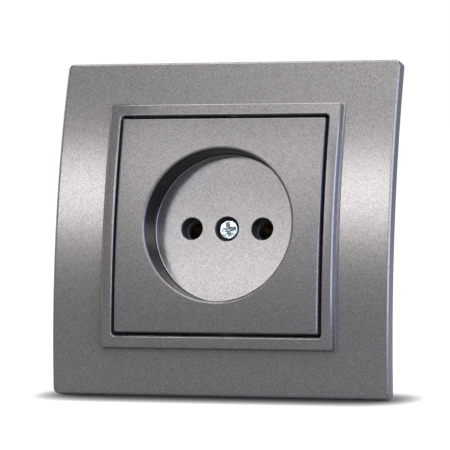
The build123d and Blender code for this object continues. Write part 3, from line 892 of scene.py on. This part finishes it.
def cross_cutter(shape, length, width, depth, top):
    """A cross that narrows downwards, from a little above the top."""
    bmesh.ops.create_grid(shape, x_segments=3, y_segments=3, size=length / 2)
    corners = [f for f in shape.faces if all(abs(c) > length / 4 for c in f.calc_center_median()[:2])]
    bmesh.ops.delete(shape, geom=corners, context="FACES")
    for axis in range(2):
        inner = [v for v in shape.verts if abs(v.co[axis]) < length / 4]
        narrow = [1, 1, 1]
        narrow[axis] = 3 * width / length
        bmesh.ops.scale(shape, verts=inner, vec=narrow)
    lowered = bmesh.ops.extrude_face_region(shape, geom=shape.faces[:])
    low = [v for v in lowered["geom"] if isinstance(v, bmesh.types.BMVert)]
    bmesh.ops.translate(shape, verts=low, vec=(0, 0, -depth))
    bmesh.ops.scale(shape, verts=low, vec=(RECESS_TAPER, RECESS_TAPER, 1))
    bmesh.ops.translate(shape, verts=shape.verts, vec=(0, 0, top + ABOVE_HEAD))
    bmesh.ops.recalc_face_normals(shape, faces=shape.faces)


print("a recess is", RECESS_LENGTH, "times the head's radius long")

# %% [markdown]
# Head, recess and shank have to become one closed skin, because a printer and the export need a whole
# body. Shapes that only overlap look the same in a picture, but they hide faces inside each other. A
# boolean modifier cuts or joins them properly, and its result is kept at once, so that nothing depends on
# a hidden cutter later.

# %% Joining and shading
SHARP_ANGLE = math.radians(30)


def as_object(shape, name):
    """Turns a bmesh into an object at the origin."""
    bmesh.ops.recalc_face_normals(shape, faces=shape.faces)
    mesh = bpy.data.meshes.new(name)
    shape.to_mesh(mesh)
    shape.free()
    made = bpy.data.objects.new(name, mesh)
    bpy.context.scene.collection.objects.link(made)
    return made


def combine(piece, other, operation):
    """Cuts another object out of a piece, or joins it to the piece, and removes it."""
    step = piece.modifiers.new("combine", "BOOLEAN")
    step.operation = operation
    step.solver = "EXACT"
    step.object = other
    bpy.context.view_layer.update()
    evaluated = piece.evaluated_get(bpy.context.evaluated_depsgraph_get())
    piece.data = bpy.data.meshes.new_from_object(evaluated)
    piece.modifiers.clear()
    bpy.data.objects.remove(other)


def shade(piece):
    """Smooth shading with sharp edges where faces meet at a clear angle."""
    piece.data.shade_smooth()
    piece.data.set_sharp_from_angle(angle=SHARP_ANGLE)


print("edges are sharp from", round(math.degrees(SHARP_ANGLE)), "degrees")

# %% [markdown]
# Each screw is made standing on the origin, where all its sizes are simple, and is then turned and moved
# into the box of the solid that it replaces. It could be built in its place at once, but then every shape
# above would need a direction of its own. The box gives the head's radius, the whole length and the place,
# so only the head's height and the thread are repeated here.

# %% A screw
HEAD_EDGE = 0.15
SHANK_OVERLAP = 0.3


def standing_screw(name, radius, length, head_height, shank_radius, pitch):
    """A screw with its head up and the underside of the head at the origin."""
    shape = bmesh.new()
    head(shape, radius, head_height, HEAD_EDGE * head_height)
    piece = as_object(shape, name + "_visible")
    cutter = bmesh.new()
    depth = RECESS_DEPTH * head_height
    cross_cutter(cutter, RECESS_LENGTH * radius, RECESS_WIDTH * radius, depth, head_height)
    combine(piece, as_object(cutter, "cutter"), "DIFFERENCE")
    shank = bmesh.new()
    thread(shank, shank_radius, pitch, -length, SHANK_OVERLAP * head_height)
    combine(piece, as_object(shank, "shank"), "UNION")
    return piece


def move_mesh(piece, matrix):
    """Moves and turns the mesh, and leaves its object at the origin."""
    shape = bmesh.new()
    shape.from_mesh(piece.data)
    bmesh.ops.transform(shape, matrix=matrix, verts=shape.verts)
    bmesh.ops.recalc_face_normals(shape, faces=shape.faces)
    shape.to_mesh(piece.data)
    shape.free()


def stand_in(piece, name, body, material):
    """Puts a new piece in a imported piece's place, on its body and with its finish."""
    piece.data.materials.clear()
    piece.data.materials.append(material)
    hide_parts(name)
    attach(piece, body)
    dressed.append(name)


def screw(name, body, up, head_height, shank_radius, pitch, recess_turn):
    """A cross-recess screw in the place of a packed one. Up is the direction that its head looks in."""
    low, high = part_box(name)
    size = high - low
    along = max(range(3), key=lambda axis: abs(up[axis]))
    radius = max(size[axis] for axis in range(3) if axis != along) / 2
    length = size[along] - head_height
    piece = standing_screw(name, radius, length, head_height, shank_radius, pitch)
    spin = Matrix.Rotation(math.radians(recess_turn), 4, "Z")
    turn = Vector(up).to_track_quat("Z", "X").to_matrix().to_4x4()
    underside = (low + high) / 2
    underside[along] = (low[along] if up[along] > 0 else high[along]) + up[along] * length
    move_mesh(piece, Matrix.Translation(underside) @ turn @ spin)
    shade(piece)
    stand_in(piece, name, body, screw_zinc)
    return piece


print("a head's edge is rounded over", HEAD_EDGE, "of its height")

# %% [markdown]
# One screw in the well holds the plate, two draw the claws, and two clamp the wires. A screw stops turning
# where it is tight and never where it looks neat, so every recess has a turn of its own. The claws' screws
# move with their claws, so each of them rides on a body of its own.

# %% Screws
FRONT = (0, -1, 0)
UP = (0, 0, 1)
TERMINAL_TURN = 15

screws = [screw("face_screw", "socket", FRONT, head_height=1.7 * MM, shank_radius=1.5 * MM,
                pitch=0.5 * MM, recess_turn=12)]
for side, turned in (("left", 20), ("right", 65)):
    screws.append(screw("claw_screw_" + side, side + "_claw_screw", FRONT, head_height=1.8 * MM,
                        shank_radius=1.5 * MM, pitch=0.5 * MM, recess_turn=turned))
    screws.append(screw("terminal_screw_" + side, "socket", UP, head_height=1.6 * MM,
                        shank_radius=1.6 * MM, pitch=0.6 * MM, recess_turn=turned + TERMINAL_TURN))
print("faces of each screw:", [len(piece.data.polygons) for piece in screws])

# %% [markdown]
# A finish must not change the size of the socket, and it is easy to forget a piece. So the last step lists
# what has no finish yet.

# %% The last list: pieces without a finish
print("pieces without a finish:", sorted(set(node) - set(dressed)))
